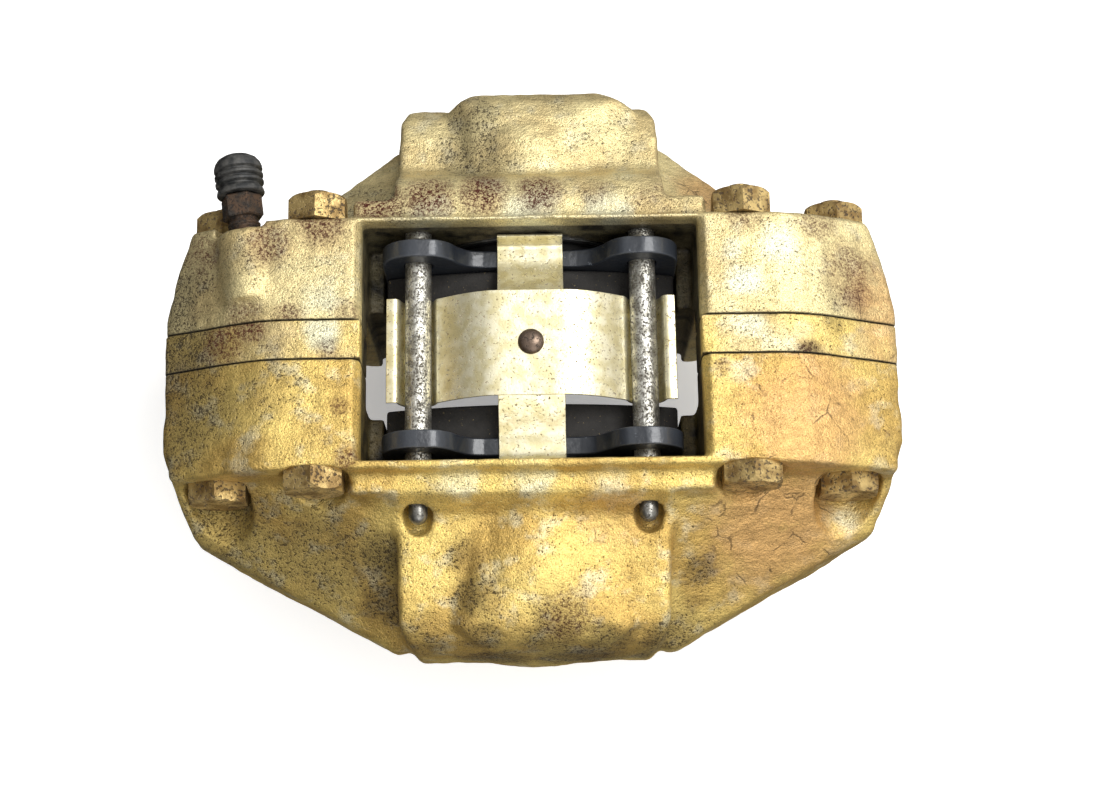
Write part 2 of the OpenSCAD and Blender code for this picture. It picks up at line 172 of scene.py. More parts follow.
def sliced(bm, point, normal):
    # takes off everything on the side the normal points to
    cut = bmesh.ops.bisect_plane(bm, geom=bm.verts[:] + bm.edges[:] + bm.faces[:], plane_co=place(point),
                                 plane_no=Vector(normal), clear_outer=True)
    rim = [item for item in cut["geom_cut"] if isinstance(item, bmesh.types.BMEdge)]
    bmesh.ops.edgenet_fill(bm, edges=rim)
    return bm


def rod(radius, y0, y1, x, z, flipY=1, segments=64, bm=None):
    low, high = sorted((y0 * flipY, y1 * flipY))
    return turned([(radius, low), (radius, high)], (x, 0, z), segments=segments, bm=bm)


def settle(obj):
    # turns the modifiers into mesh
    graph = bpy.context.evaluated_depsgraph_get()
    mesh = bpy.data.meshes.new_from_object(obj.evaluated_get(graph))
    before = obj.data
    obj.modifiers.clear()
    obj.data = mesh
    bpy.data.meshes.remove(before)
    return obj


def carve(obj, tools, operation="DIFFERENCE"):
    for tool in tools:
        cutter = newObject("cutter", tool)
        step = obj.modifiers.new("carve", "BOOLEAN")
        step.operation = operation
        step.solver = "MANIFOLD"
        step.object = cutter
        settle(obj)
        bpy.data.objects.remove(cutter)
    return obj


def merged(name, pieces):
    # several closed solids in one mesh, later fused by a remesh
    whole = bmesh.new()
    for piece in pieces:
        if isinstance(piece, bpy.types.Object):
            whole.from_mesh(piece.data)
            bpy.data.objects.remove(piece)
        else:
            bmesh.ops.recalc_face_normals(piece, faces=piece.faces)
            spare = bpy.data.meshes.new("spare")
            piece.to_mesh(spare)
            piece.free()
            whole.from_mesh(spare)
            bpy.data.meshes.remove(spare)
    mesh = bpy.data.meshes.new(name)
    whole.to_mesh(mesh)
    whole.free()
    obj = bpy.data.objects.new(name, mesh)
    bpy.context.scene.collection.objects.link(obj)
    return obj


def remesh(obj, voxel, passes):
    # fuses and rounds: more passes give a larger fillet
    step = obj.modifiers.new("fuse", "REMESH")
    step.mode = "VOXEL"
    step.voxel_size = voxel * mm
    step.use_smooth_shade = True
    relax = obj.modifiers.new("relax", "SMOOTH")
    relax.factor = 0.5
    relax.iterations = passes
    return settle(obj)


def roughen(obj, grain, depth):
    # real unevenness of the sand mould, grain and depth in millimetres
    cloud = bpy.data.textures.new("mould", "CLOUDS")
    cloud.noise_scale = grain * mm
    cloud.noise_depth = 2
    step = obj.modifiers.new("mould", "DISPLACE")
    step.texture = cloud
    step.texture_coords = "LOCAL"
    step.mid_level = 0.5
    step.strength = depth * mm
    return settle(obj)


def bevelled(obj, width, segments=2, angle=30, smooth=True):
    step = obj.modifiers.new("bevel", "BEVEL")
    step.width = width * mm
    step.segments = segments
    step.limit_method = "ANGLE"
    step.angle_limit = math.radians(angle)
    step.harden_normals = False
    settle(obj)
    if smooth:
        for face in obj.data.polygons:
            face.use_smooth = True
        sharp = obj.modifiers.new("weighted", "WEIGHTED_NORMAL")
        sharp.keep_sharp = True
        settle(obj)
    return obj


def arc(centre, radius, start, end, count):
    points = []
    for i in range(count + 1):
        angle = math.radians(start + (end - start) * i / count)
        points.append((centre[0] + radius * math.cos(angle), centre[1] + radius * math.sin(angle)))
    return points


def flowing(points, steps=6):
    # a smooth line through given points
    out = []
    for i in range(len(points) - 1):
        before = Vector(points[max(i - 1, 0)])
        a, b = Vector(points[i]), Vector(points[i + 1])
        after = Vector(points[min(i + 2, len(points) - 1)])
        for k in range(steps):
            t = k / steps
            out.append(0.5 * ((2 * a) + (b - before) * t + (2 * before - 5 * a + 4 * b - after) * t * t
                              + (3 * a - before - 3 * b + after) * t ** 3))
    out.append(Vector(points[-1]))
    return out


def stripOutline(line, thickness):
    # both faces of a bent strip whose mid-line is given
    upper, lower = [], []
    for i, point in enumerate(line):
        run = (line[min(i + 1, len(line) - 1)] - line[max(i - 1, 0)]).normalized()
        side = Vector((-run.y, run.x)) * thickness / 2
        upper.append(tuple(point + side))
        lower.append(tuple(point - side))
    return upper + lower[::-1]


def mirrored(points):
    return points + [(-x, z) for x, z in reversed(points)]


# materials

def linear(hexColour):
    channels = [int(hexColour[i:i + 2], 16) / 255 for i in (1, 3, 5)]
    return [c / 12.92 if c <= 0.04045 else ((c + 0.055) / 1.055) ** 2.4 for c in channels] + [1.0]


def addNode(tree, kind, inputs=None, ramp=None, **settings):
    # one node with its settings; an input takes a value, a hex colour, a socket or another node
    node = tree.nodes.new("ShaderNode" + kind)
    for key, value in settings.items():
        setattr(node, key, value)
    for key, value in (inputs or {}).items():
        if isinstance(value, bpy.types.Node):
            value = next(output for output in value.outputs if output.enabled)
        if isinstance(value, bpy.types.NodeSocket):
            tree.links.new(value, node.inputs[key])
        else:
            node.inputs[key].default_value = linear(value) if isinstance(value, str) else value
    if ramp:
        for element, (position, grey) in zip(node.color_ramp.elements, ramp):
            element.position = position
            element.color = (grey, grey, grey, 1)
    return node


def perMetre(sizeMm):
    return 1000 / sizeMm


def startMaterial(name):
    material = bpy.data.materials.new(name)
    material.use_nodes = True
    material.node_tree.nodes.clear()
    add = partial(addNode, material.node_tree)
    return material, add, add("TexCoord").outputs["Object"]


def stains(add, where, spots, ragged):
    # soft patches round given places, with ragged edges; each is (x, y, z, reach, strength) in millimetres
    total = 0.0
    for x, y, z, reach, strength in spots:
        offset = add("VectorMath", {0: where, 1: place((x, y, z))}, operation="DISTANCE")
        patch = add("MapRange", {0: offset, 1: 0.25 * reach * mm, 2: reach * mm, 3: strength, 4: 0.0},
                    interpolation_type="SMOOTHSTEP")
        total = add("Math", {0: patch, 1: total}, operation="MAXIMUM")
    torn = add("Math", {0: ragged, 1: 3.0, 2: -1.55}, operation="MULTIPLY_ADD")
    torn = add("Math", {0: torn, 1: total}, operation="ADD")
    torn = add("Math", {0: torn, 1: 1.6}, operation="MULTIPLY", use_clamp=True)
    return add("Math", {0: torn, 1: total}, operation="MULTIPLY", use_clamp=True)


platingLook = {
    "bright": "#e7ca77", "deep": "#c8a65c", "pale": "#e9dfb8", "tan": "#d3a66a",
    "inboardBright": "#ebdaa2", "inboardDeep": "#d3bd87",
    "grimeAndShade": "#2b2016", "rust": "#54271b", "chalkAndHighlight": "#dfe3cc", "dust": "#15130f",
    "metallic": 0.7, "roughness": 0.44, "wornRoughness": 0.3,
    # size in mm, detail and roughness of each layer of unevenness; moulding sand is about 0.3 mm,
    # so its grain is drawn two or three times as coarse to show
    "patches": (24, 3.0, 0.55), "blotches": (7, 4.0, 0.55), "grain": (0.95, 3.0, 0.6),
    "pits": (0.4275, 2.0, 0.5), "ripple": (2.6, 3.0, 0.5), "rippleStretch": (0.7, 1.5, 1.0),
    "crackCellMm": 17, "crackMm": (0.102, 0.34), "crackWanderMm": 9, "crackBendMm": 5, "reliefMm": 1.0,
}


def platedSandCastIron(name, spots, bright, deep):
    # yellow passivated zinc on a sand-cast skin: a soft metallic gold broken up by dark pores
    look = platingLook
    material, add, where = startMaterial(name)
    stretched = add("Mapping", {0: where, 3: look["rippleStretch"]})
    layers = []
    for label in ("patches", "blotches", "grain", "pits", "ripple"):
        size, detail, roughness = look[label]
        layers.append(add("TexNoise", {0: stretched if label == "ripple" else where, "Scale": perMetre(size),
                                       "Detail": detail, "Roughness": roughness}))
    broad, middle, grain, fine, ripple = layers
    ragged = add("Mix", {0: 0.55, 2: broad, 3: middle})
    kinds = ("tan", "chalkAndHighlight", "grimeAndShade", "rust")
    tan, chalkAndHighlight, grimeAndShade, rust = [stains(add, where, spots[kind], ragged) for kind in kinds]
    smooth = {"interpolation_type": "SMOOTHSTEP"}

    paler = add("MapRange", {0: middle, 1: 0.5, 2: 0.72, 4: 0.6}, **smooth)
    # the chalk stains are partly chalky residue and partly painted highlight on the rim bands and the left
    # block
    chalkAndHighlightShare = add("Math", {0: chalkAndHighlight, 1: 0.8}, operation="MULTIPLY")
    brighter = add("MapRange", {0: broad, 1: 0.36, 2: 0.62}, **smooth)
    colour = look[deep]
    for amount, tint in ((brighter, bright), (paler, "pale"), (tan, "tan"), (chalkAndHighlightShare, "chalkAndHighlight")):
        colour = add("Mix", {0: amount, 6: colour, 7: look[tint]}, data_type="RGBA")
    mottle = add("Mix", {0: 0.4, 2: fine, 3: ripple})
    mottle = add("ValToRGB", {0: mottle}, ramp=[(0.40, 0.66), (0.55, 1.0)])
    colour = add("Mix", {0: 1.0, 6: colour, 7: mottle}, data_type="RGBA", blend_type="MULTIPLY")

    # pores: small dark pits that crowd together where the surface is dirty
    level = add("Mix", {0: 0.35, 2: grain, 3: fine})
    crowd = 0.333
    for layer, share in ((middle, 0.16), (grimeAndShade, 0.115), (tan, -0.06)):
        crowd = add("Math", {0: layer, 1: share, 2: crowd}, operation="MULTIPLY_ADD")
    pores = add("Math", {0: crowd, 1: level}, operation="SUBTRACT")
    pores = add("Math", {0: pores, 1: 10.0}, operation="MULTIPLY", use_clamp=True)
    porous = add("Math", {0: pores, 1: 0.8}, operation="MULTIPLY")

    # the smooth tan coat has dried into a few thin cracks
    wander = add("TexNoise", {0: where, "Scale": perMetre(look["crackWanderMm"]), "Detail": 2.0})
    wander = add("VectorMath", {0: wander.outputs[1], 1: [look["crackBendMm"] * mm] * 3, 2: where},
                 operation="MULTIPLY_ADD")
    cells = add("TexVoronoi", {0: wander, "Scale": perMetre(look["crackCellMm"])},
                feature="DISTANCE_TO_EDGE")
    thin, wide = [width / look["crackCellMm"] for width in look["crackMm"]]
    crack = add("MapRange", {0: cells, 1: thin, 2: wide, 3: 0.6, 4: 0.0}, **smooth)
    broken = add("MapRange", {0: middle, 1: 0.46, 2: 0.56}, **smooth)
    coated = add("MapRange", {0: tan, 1: 0.2, 2: 0.6}, **smooth)
    for share in (broken, coated):
        crack = add("Math", {0: crack, 1: share}, operation="MULTIPLY")

    # dirt settles in hollows, and handling brightens the edges
    pointiness = add("NewGeometry").outputs["Pointiness"]
    hollow = add("MapRange", {0: pointiness, 1: 0.41, 2: 0.495, 3: 0.8, 4: 0.0}, **smooth)
    edge = add("MapRange", {0: pointiness, 1: 0.53, 2: 0.62, 4: 0.45}, **smooth)
    # the grime stains are partly dirt and partly painted shade on faces turned from the light
    film = add("Math", {0: grimeAndShade, 1: 0.62}, operation="MULTIPLY")
    speck = add("MapRange", {0: level, 1: 0.58, 2: 0.42, 3: 0.38, 4: 1.0}, **smooth)
    speck = add("Math", {0: rust, 1: speck}, operation="MULTIPLY", use_clamp=True)

    # brake dust and painted shade darken everything inside the pad window, and a painted shadow line darkens
    # the joints between the castings
    split = add("SeparateXYZ", {0: where})
    sideways = add("Math", {0: split.outputs[0]}, operation="ABSOLUTE")
    across = add("Math", {0: split.outputs[1], 1: origin.y}, operation="SUBTRACT")
    across = add("Math", {0: across}, operation="ABSOLUTE")
    # a thin painted shadow line along the joint planes, where the gap between the castings falls into shade
    seam = add("Math", {0: across, 1: spacerHalf * mm}, operation="SUBTRACT")
    seam = add("Math", {0: seam}, operation="ABSOLUTE")
    seam = add("MapRange", {0: seam, 1: 0.15 * mm, 2: 0.55 * mm, 3: 0.9, 4: 0.0}, **smooth)
    dust = 1.0
    for value, start, end, first, last in (
            (sideways, (windowX + 0.5) * mm, (windowX + 1.6) * mm, 1.0, 0.0),
            (across, (wallY + 0.3) * mm, (wallY + 1.2) * mm, 1.0, 0.0),
            (split.outputs[2], origin.z - 0.5 * mm, origin.z - 2.2 * mm, 0.0, 1.0),
            (middle, 0.3, 0.6, 1.0, 0.8)):
        fade = add("MapRange", {0: value, 1: start, 2: end, 3: first, 4: last}, **smooth)
        dust = add("Math", {0: dust, 1: fade}, operation="MULTIPLY")
    dark = add("Math", {0: dust, 1: seam}, operation="MAXIMUM")
    for amount, tint in ((porous, "grimeAndShade"), (crack, "grimeAndShade"), (hollow, "grimeAndShade"), (edge, "pale"),
                         (film, "grimeAndShade"), (speck, "rust"), (dark, "dust")):
        colour = add("Mix", {0: amount, 6: colour, 7: look[tint]}, data_type="RGBA")

    worn = add("Math", {0: pores, 1: film}, operation="MAXIMUM")
    worn = add("Math", {0: worn, 1: speck}, operation="MAXIMUM")
    rough = add("Math", {0: worn, 1: look["wornRoughness"], 2: look["roughness"]}, operation="MULTIPLY_ADD")
    metal = add("Math", {0: worn, 1: -0.12, 2: look["metallic"]}, operation="MULTIPLY_ADD")
    # the painted shade and dust inside the window also dull the metal
    clean = add("Math", {0: dark, 1: -0.85, 2: 1.0}, operation="MULTIPLY_ADD")
    metal = add("Math", {0: metal, 1: clean}, operation="MULTIPLY", use_clamp=True)
    height = add("Math", {0: level, 1: 0.75}, operation="MULTIPLY")
    for layer, share in ((ripple, 0.35), (pores, -0.2)):
        height = add("Math", {0: layer, 1: share, 2: height}, operation="MULTIPLY_ADD")
    relief = add("Bump", {"Height": height, "Distance": look["reliefMm"] * mm, "Strength": 0.7})
    shader = add("BsdfPrincipled", {"Base Color": colour, "Roughness": rough, "Metallic": metal,
                                    "Normal": relief})
    add("OutputMaterial", {0: shader})
    return material


# each metal's two tones and dirt, how metallic and rough it is, its grain and depth, and how dirty it is;
# real pits are finer than half a millimetre, so grains are drawn coarser to show
metalLooks = {
    # forged, then zinc plated: dull gold, brown where the zinc has gone
    "bolt": {"name": "yellow zinc plated forged steel", "base": "#d2b679", "second": "#8f7447",
             "dirt": "#35281b", "metallic": 0.75, "roughness": 0.4, "grainMm": 1.1, "depthMm": 0.08,
             "dirty": 0.48},
    # drawn bar gone to rust and rubbed clean: silvery with a dense dark pitting
    "pin": {"name": "drawn steel, pitted", "base": "#d6d4cb", "second": "#97948a", "dirt": "#4a4136",
            "metallic": 0.92, "roughness": 0.3, "grainMm": 0.7, "depthMm": 0.12, "dirty": 0.5},
    # the same bar in the open: grey and glossy, with a small highlight
    "pinEnd": {"name": "dulled drawn steel", "base": "#8f8d87", "second": "#6c6a64", "dirt": "#332e28",
               "metallic": 0.88, "roughness": 0.32, "grainMm": 0.9, "depthMm": 0.05, "dirty": 0.35},
    # rolled strip with a thin clear passivate: pale straw, smooth and nearly clean
    "spring": {"name": "passivated spring strip", "base": "#ece5c6", "second": "#d5ca9e",
               "dirt": "#6e5836", "metallic": 0.8, "roughness": 0.34, "grainMm": 0.8, "depthMm": 0.03,
               "dirty": 0.2},
    # cold-headed and left bare: a brown polished dome
    "rivet": {"name": "browned rivet steel", "base": "#6f5f52", "second": "#4c3f36", "dirt": "#2b211a",
              "metallic": 0.85, "roughness": 0.36, "grainMm": 1.2, "depthMm": 0.04, "dirty": 0.4},
    # turned and blackened, then soaked in fluid and dust: nearly black with brown in the threads
    "bleeder": {"name": "oily blackened steel", "base": "#3a3530", "second": "#5a4636",
                "dirt": "#1c1713", "metallic": 0.6, "roughness": 0.5, "grainMm": 0.8, "depthMm": 0.08,
                "dirty": 0.55},
    # pressed from bright sheet: plain light grey
    "ring": {"name": "bright pressed steel", "base": "#b9bab8", "second": "#9a9b98", "dirt": "#55504a",
             "metallic": 1.0, "roughness": 0.3, "grainMm": 2.0, "depthMm": 0.02, "dirty": 0.3},
    # plated and ground: cool and almost a mirror
    "piston": {"name": "ground hard chrome", "base": "#c3c6c9", "second": "#aab0b4", "dirt": "#4b453e",
               "metallic": 1.0, "roughness": 0.16, "grainMm": 1.2, "depthMm": 0.01, "dirty": 0.25},
}


def wornSteel(look):
    # steel with its coat partly worn through: two tones of metal, dull dirt in the pits
    material, add, where = startMaterial(look["name"])
    broad = add("TexNoise", {0: where, "Scale": perMetre(look["grainMm"] * 5), "Detail": 3.0,
                             "Roughness": 0.55})
    grain = add("TexNoise", {0: where, "Scale": perMetre(look["grainMm"]), "Detail": 4.0, "Roughness": 0.6})
    low = 0.30 + 0.2 * look["dirty"]
    tone = add("ValToRGB", {0: broad}, ramp=[(0.4, 0.0), (0.6, 1.0)])
    pits = add("ValToRGB", {0: grain}, ramp=[(low, 1.0), (low + 0.07, 0.0)])
    filled = add("Math", {0: pits, 1: 0.85}, operation="MULTIPLY")
    hollow = add("ValToRGB", {0: add("NewGeometry").outputs["Pointiness"]}, ramp=[(0.4, 0.7), (0.49, 0.0)])
    colour = look["base"]
    for amount, tint in ((tone, "second"), (filled, "dirt"), (hollow, "dirt")):
        colour = add("Mix", {0: amount, 6: colour, 7: look[tint]}, data_type="RGBA")
    metal = add("Math", {0: pits, 1: -0.6, 2: look["metallic"]}, operation="MULTIPLY_ADD")
    rough = look["roughness"] - 0.07
    for layer, share in ((broad, 0.15), (pits, 0.35)):
        rough = add("Math", {0: layer, 1: share, 2: rough}, operation="MULTIPLY_ADD")
    height = add("Math", {0: pits, 1: -0.5, 2: grain}, operation="MULTIPLY_ADD")
    relief = add("Bump", {"Height": height, "Distance": look["depthMm"] * 2 * mm})
    shader = add("BsdfPrincipled", {"Base Color": colour, "Roughness": rough, "Metallic": metal,
                                    "Normal": relief})
    add("OutputMaterial", {0: shader})
    return material


paintLook = {"paint": "#272c34", "dull": "#16191f", "scuff": "#8d939b", "roughness": 0.24, "coat": 0.25,
             "patchMm": 9, "grainMm": 1.3, "scuffMm": 3.1, "reliefMm": 0.3}


def paintedBlankedSteel():
    # blanked plate under dipped paint: satin blue-grey, scuffed to bare metal here and there
    look = paintLook
    material, add, where = startMaterial("satin dipped paint on blanked steel")
    broad = add("TexNoise", {0: where, "Scale": perMetre(look["patchMm"]), "Detail": 3.0, "Roughness": 0.55})
    grain = add("TexNoise", {0: where, "Scale": perMetre(look["grainMm"]), "Detail": 3.0, "Roughness": 0.55})
    scuffs = add("TexNoise", {0: where, "Scale": perMetre(look["scuffMm"]), "Detail": 5.0, "Roughness": 0.7})
    scuffs = add("ValToRGB", {0: scuffs}, ramp=[(0.66, 0.0), (0.72, 0.6)])
    edge = add("ValToRGB", {0: add("NewGeometry").outputs["Pointiness"]}, ramp=[(0.53, 0.0), (0.6, 0.5)])
    colour = look["dull"]
    for amount, tint in ((broad, "paint"), (scuffs, "scuff"), (edge, "scuff")):
        colour = add("Mix", {0: amount, 6: colour, 7: look[tint]}, data_type="RGBA")
    rough = add("Math", {0: broad, 1: 0.25, 2: look["roughness"]}, operation="MULTIPLY_ADD")
    height = add("Math", {0: grain, 1: 0.4}, operation="MULTIPLY")
    height = add("Math", {0: broad, 1: 1.5, 2: height}, operation="MULTIPLY_ADD")
    relief = add("Bump", {"Height": height, "Distance": look["reliefMm"] * mm})
    shader = add("BsdfPrincipled", {"Base Color": colour, "Roughness": rough, "Normal": relief,
                                    "Metallic": 0.0, "Coat Weight": look["coat"]})
    add("OutputMaterial", {0: shader})
    return material


frictionLook = {"dark": "#1f1e1d", "light": "#3a3734", "fleck": "#8a7a55", "roughness": 0.85,
                "patchMm": 3.5, "fleckMm": 0.9, "reliefMm": 0.25}


def pressedFriction():
    # fibre, resin and brass swarf pressed together: dull grey-black with tiny bright flecks
    look = frictionLook
    material, add, where = startMaterial("pressed friction lining")
    broad = add("TexNoise", {0: where, "Scale": perMetre(look["patchMm"]), "Detail": 3.0, "Roughness": 0.55})
    grain = add("TexNoise", {0: where, "Scale": perMetre(look["fleckMm"]), "Detail": 3.0, "Roughness": 0.7})
    flecks = add("ValToRGB", {0: grain}, ramp=[(0.67, 0.0), (0.70, 1.0)])
    colour = look["dark"]
    for amount, tint in ((broad, "light"), (flecks, "fleck")):
        colour = add("Mix", {0: amount, 6: colour, 7: look[tint]}, data_type="RGBA")
    relief = add("Bump", {"Height": grain, "Distance": look["reliefMm"] * mm})
    shader = add("BsdfPrincipled", {"Base Color": colour, "Roughness": look["roughness"], "Normal": relief})
    add("OutputMaterial", {0: shader})
    return material


rubberLook = {"roughness": 0.55, "ior": 1.52, "filmMm": 2.5, "grainMm": 0.8, "reliefMm": 0.06}


def mouldedRubber(name, fresh, dusty):
    # old moulded rubber: near black, greyed by dust in its hollows and on its crown
    look = rubberLook
    material, add, where = startMaterial(name)
    film = add("TexNoise", {0: where, "Scale": perMetre(look["filmMm"]), "Detail": 4.0, "Roughness": 0.6})
    film = add("ValToRGB", {0: film}, ramp=[(0.4, 0.0), (0.7, 0.8)])
    colour = add("Mix", {0: film, 6: fresh, 7: dusty}, data_type="RGBA")
    grain = add("TexNoise", {0: where, "Scale": perMetre(look["grainMm"]), "Detail": 3.0, "Roughness": 0.55})
    relief = add("Bump", {"Height": grain, "Distance": look["reliefMm"] * mm})
    shader = add("BsdfPrincipled", {"Base Color": colour, "Roughness": look["roughness"], "IOR": look["ior"],
                                    "Normal": relief})
    add("OutputMaterial", {0: shader})
    return material


paperLook = {"white": "#ffffff", "shade": "#fbfbfb", "roughness": 0.8, "glow": 0.34, "patchMm": 300}


def backdropPaper():
    # matt white paper, lit a little from below like a light table, so shadows stay faint
    look = paperLook
    material, add, where = startMaterial("white backdrop paper")
    broad = add("TexNoise", {0: where, "Scale": perMetre(look["patchMm"]), "Detail": 2.0, "Roughness": 0.55})
    colour = add("Mix", {0: broad, 6: look["shade"], 7: look["white"]}, data_type="RGBA")
    shader = add("BsdfPrincipled", {"Base Color": colour, "Roughness": look["roughness"],
                                    "Emission Color": look["white"], "Emission Strength": look["glow"]})
    add("OutputMaterial", {0: shader})
    return material


# where dirt and painted shade, rust, chalky residue and painted highlights, and smooth tan plating lie on
# each casting, in millimetres
inboardSpots = {
    "rust": [(-46, 45, 0, 14, 1.0), (-30, 46, -1, 13, 1.0), (-14, 47, -2, 13, 1.0), (3, 47, -2, 12, 1.0),
        (20, 47, -2, 9, 0.6), (38, 45, 0, 14, 0.55), (-62, 37, 4, 15, 0.9), (-78, 30, 3, 13, 0.85),
        (-84, 8, 0, 12, 0.7), (98, 20, -2, 18, 0.75), (86, 36, 0, 12, 0.7), (64, 38, 5, 11, 0.7),
        (-96, 30, -6, 14, 0.6), (-72, 7, 5, 8, 0.8), (-54, 8, 5, 7, 0.6)],
    # the grime patches on the hump's left flank, the boss's left side and the left end are painted shade of
    # faces turned from the light
    "grimeAndShade": [(-106, 18, -16, 34, 0.9), (-86, 26, 0, 17, 0.6), (-16, 62, -12, 22, 0.7),
        (-17, 76, -14, 15, 0.75), (-52, 56, -16, 20, 0.7), (8, 86, -20, 20, 0.5), (26, 66, -12, 20, 0.35),
        (0, 20, -60, 40, 0.5), (-38, 42, 0, 14, 0.4), (22, 42, 0, 16, 0.3), (46, 43, -1, 14, 0.4),
        (-70, 20, 5, 18, 0.3), (96, 8, -4, 18, 0.4)],
    # the chalk patches on the rim band and on the left block are painted highlights
    "chalkAndHighlight": [(64, 16, 5, 8, 0.9), (74, 27, 5, 9, 0.8), (60, 26, 5, 6, 0.6), (-62, 14, 5, 9, 0.5),
        (30, 52, -8, 9, 0.5), (0, 40, 0, 14, 0.7), (24, 40, 0, 12, 0.7), (-30, 39, 0, 10, 0.6)],
    "tan": [(104, 12, -10, 20, 0.7), (60, 52, -24, 24, 0.8)],
}
outboardSpots = {
    "rust": [(-56, -20, 4, 6, 0.8), (-54, -36, 4, 7, 0.8), (56, -10, 4, 5, 0.6), (106, -30, -8, 10, 0.5),
        (10, -79, -14, 15, 0.6), (-62, -30, 5, 9, 0.4), (-84, -38, -2, 8, 0.6)],
    # the grime patches on the left end, the left web, the boss's and hump's left flanks and the boss's front
    # end band are painted shade of faces turned from the light
    "grimeAndShade": [(-106, -18, -10, 36, 0.85), (-78, -14, 4, 18, 0.5), (-90, -58, -26, 44, 0.7),
        (-64, -60, -24, 34, 0.75), (-45, -60, -20, 15, 1.0), (-46, -76, -28, 18, 0.9),
        (-19, -62, -12, 12, 0.7), (-17, -74, -14, 13, 0.85), (4, -85, -18, 18, 0.75),
        (-16, -84, -18, 14, 0.8), (-34, -86, -22, 16, 0.7), (22, -86, -20, 15, 0.85),
        (38, -86, -24, 15, 0.95), (14, -92, -34, 27, 1.0), (40, -89, -34, 21, 1.0),
        (-12, -92, -34, 22, 1.0), (-30, -46, -4, 10, 0.5), (-6, -49, -7, 12, 0.35), (18, -49, -7, 12, 0.3),
        (34, -50, -8, 7, 0.7), (-34, -50, -8, 7, 0.7), (50, -66, -24, 11, 0.8), (60, -72, -28, 9, 0.7),
        (48, -76, -28, 12, 0.7), (56, -84, -34, 14, 0.7), (0, 0, -60, 45, 0.5)],
    "tan": [(80, -24, 3, 36, 0.85), (74, -56, -16, 40, 0.9), (24, -52, -9, 20, 0.5)],
    # the chalk patches on the rim band are painted highlights
    "chalkAndHighlight": [(0, -41, 0, 12, 0.5), (22, -41, 0, 11, 0.5), (-22, -41, 0, 11, 0.5), (62, -12, 5, 8, 0.4),
        (46, -60, -18, 6, 0.4), (48, -48, -4, 8, 0.4), (94, -50, -26, 9, 0.7)],
}
spacerSpots = {
    "rust": [(-82, 5, 2, 10, 1.0), (-90, 2, 0, 13, 0.9), (-74, 0, 4, 9, 0.4), (82, -5, 3, 8, 0.6),
        (-60, -4, 5, 7, 0.6)],
    # the grime patch at the left end is painted shade of a face turned from the light
    "grimeAndShade": [(-104, 0, -10, 24, 1.0), (82, -6, 3, 7, 0.9), (70, 6, 5, 6, 0.6), (-78, -3, 4, 9, 0.4),
        (90, 4, 0, 7, 0.6)],
    # the chalk patch on the left block is a painted highlight
    "chalkAndHighlight": [(66, 2, 5, 8, 0.7), (-62, 2, 5, 10, 0.8), (80, 1, 3, 6, 0.5)],
    "tan": [(104, 0, -10, 16, 0.6)],
}

platedInboard = platedSandCastIron("yellow zinc plated cast iron, inboard",
                                   inboardSpots, "inboardBright", "inboardDeep")
platedOutboard = platedSandCastIron("yellow zinc plated cast iron, outboard",
                                    outboardSpots, "bright", "deep")
platedSpacer = platedSandCastIron("yellow zinc plated cast iron, spacer",
                                  spacerSpots, "bright", "inboardDeep")
steel = {piece: wornSteel(look) for piece, look in metalLooks.items()}
padPaint = paintedBlankedSteel()
frictionBlock = pressedFriction()
sealRubber = mouldedRubber("moulded seal rubber", "#121212", "#2c2a27")
capRubber = mouldedRubber("weathered cap rubber", "#1d1e1e", "#565450")
print("materials made")


# camera, light and floor

view = {"elevation": 74.35, "azimuth": 0.58, "roll": -1.42, "distance": 602.7, "lens": 66.54,
        "shiftX": 0.0173, "shiftY": -0.0539}
cameraData = bpy.data.cameras.new("studioCamera")
cameraData.lens = view["lens"]
cameraData.sensor_width = 36
cameraData.shift_x = view["shiftX"]
cameraData.shift_y = view["shiftY"]
cameraData.clip_start = 0.01
camera = bpy.data.objects.new("studioCamera", cameraData)
bpy.context.scene.collection.objects.link(camera)
tilt = math.radians(view["elevation"])
swing = Matrix.Rotation(math.radians(view["azimuth"]), 3, "Z")
ahead = swing @ Vector((0, math.cos(tilt), -math.sin(tilt)))
across = swing @ Vector((1, 0, 0))
upward = across.cross(ahead)
turn = Matrix((across, upward, -ahead)).transposed() @ Matrix.Rotation(math.radians(view["roll"]), 3, "Z")
camera.matrix_world = Matrix.Translation(origin - ahead * view["distance"] * mm) @ turn.to_4x4()
bpy.context.scene.camera = camera

backdrop = {"halfWidth": 2.5, "below": 0.0002}
floorMesh = bmesh.new()
bmesh.ops.create_grid(floorMesh, x_segments=8, y_segments=8, size=backdrop["halfWidth"])
floor = newObject("backdropFloor", floorMesh, smooth=True)
floor.location = (0, origin.y, cadBounds[0][2] - backdrop["below"])
floor.data.materials.append(backdropPaper())
floor.visible_glossy = False

studio = {
    "key": {"at": (0.50, 0.30, 1.0), "size": 0.5, "watts": 9.0},
    "fill": {"at": (0.25, -0.75, 0.9), "size": 0.8, "watts": 5.0},
    "sky": "#ffffff", "low": "#2e2a26", "bright": 0.93, "towards": (0.60, 0.10, 0.80),
}
for label in ("key", "fill"):
    lampData = bpy.data.lights.new(label + "Light", "AREA")
    lampData.size = studio[label]["size"]
    lampData.energy = studio[label]["watts"]
    lamp = bpy.data.objects.new(label + "Light", lampData)
    lamp.location = origin + Vector(studio[label]["at"])
    lamp.rotation_euler = (origin - lamp.location).to_track_quat("-Z", "Y").to_euler()
    bpy.context.scene.collection.objects.link(lamp)
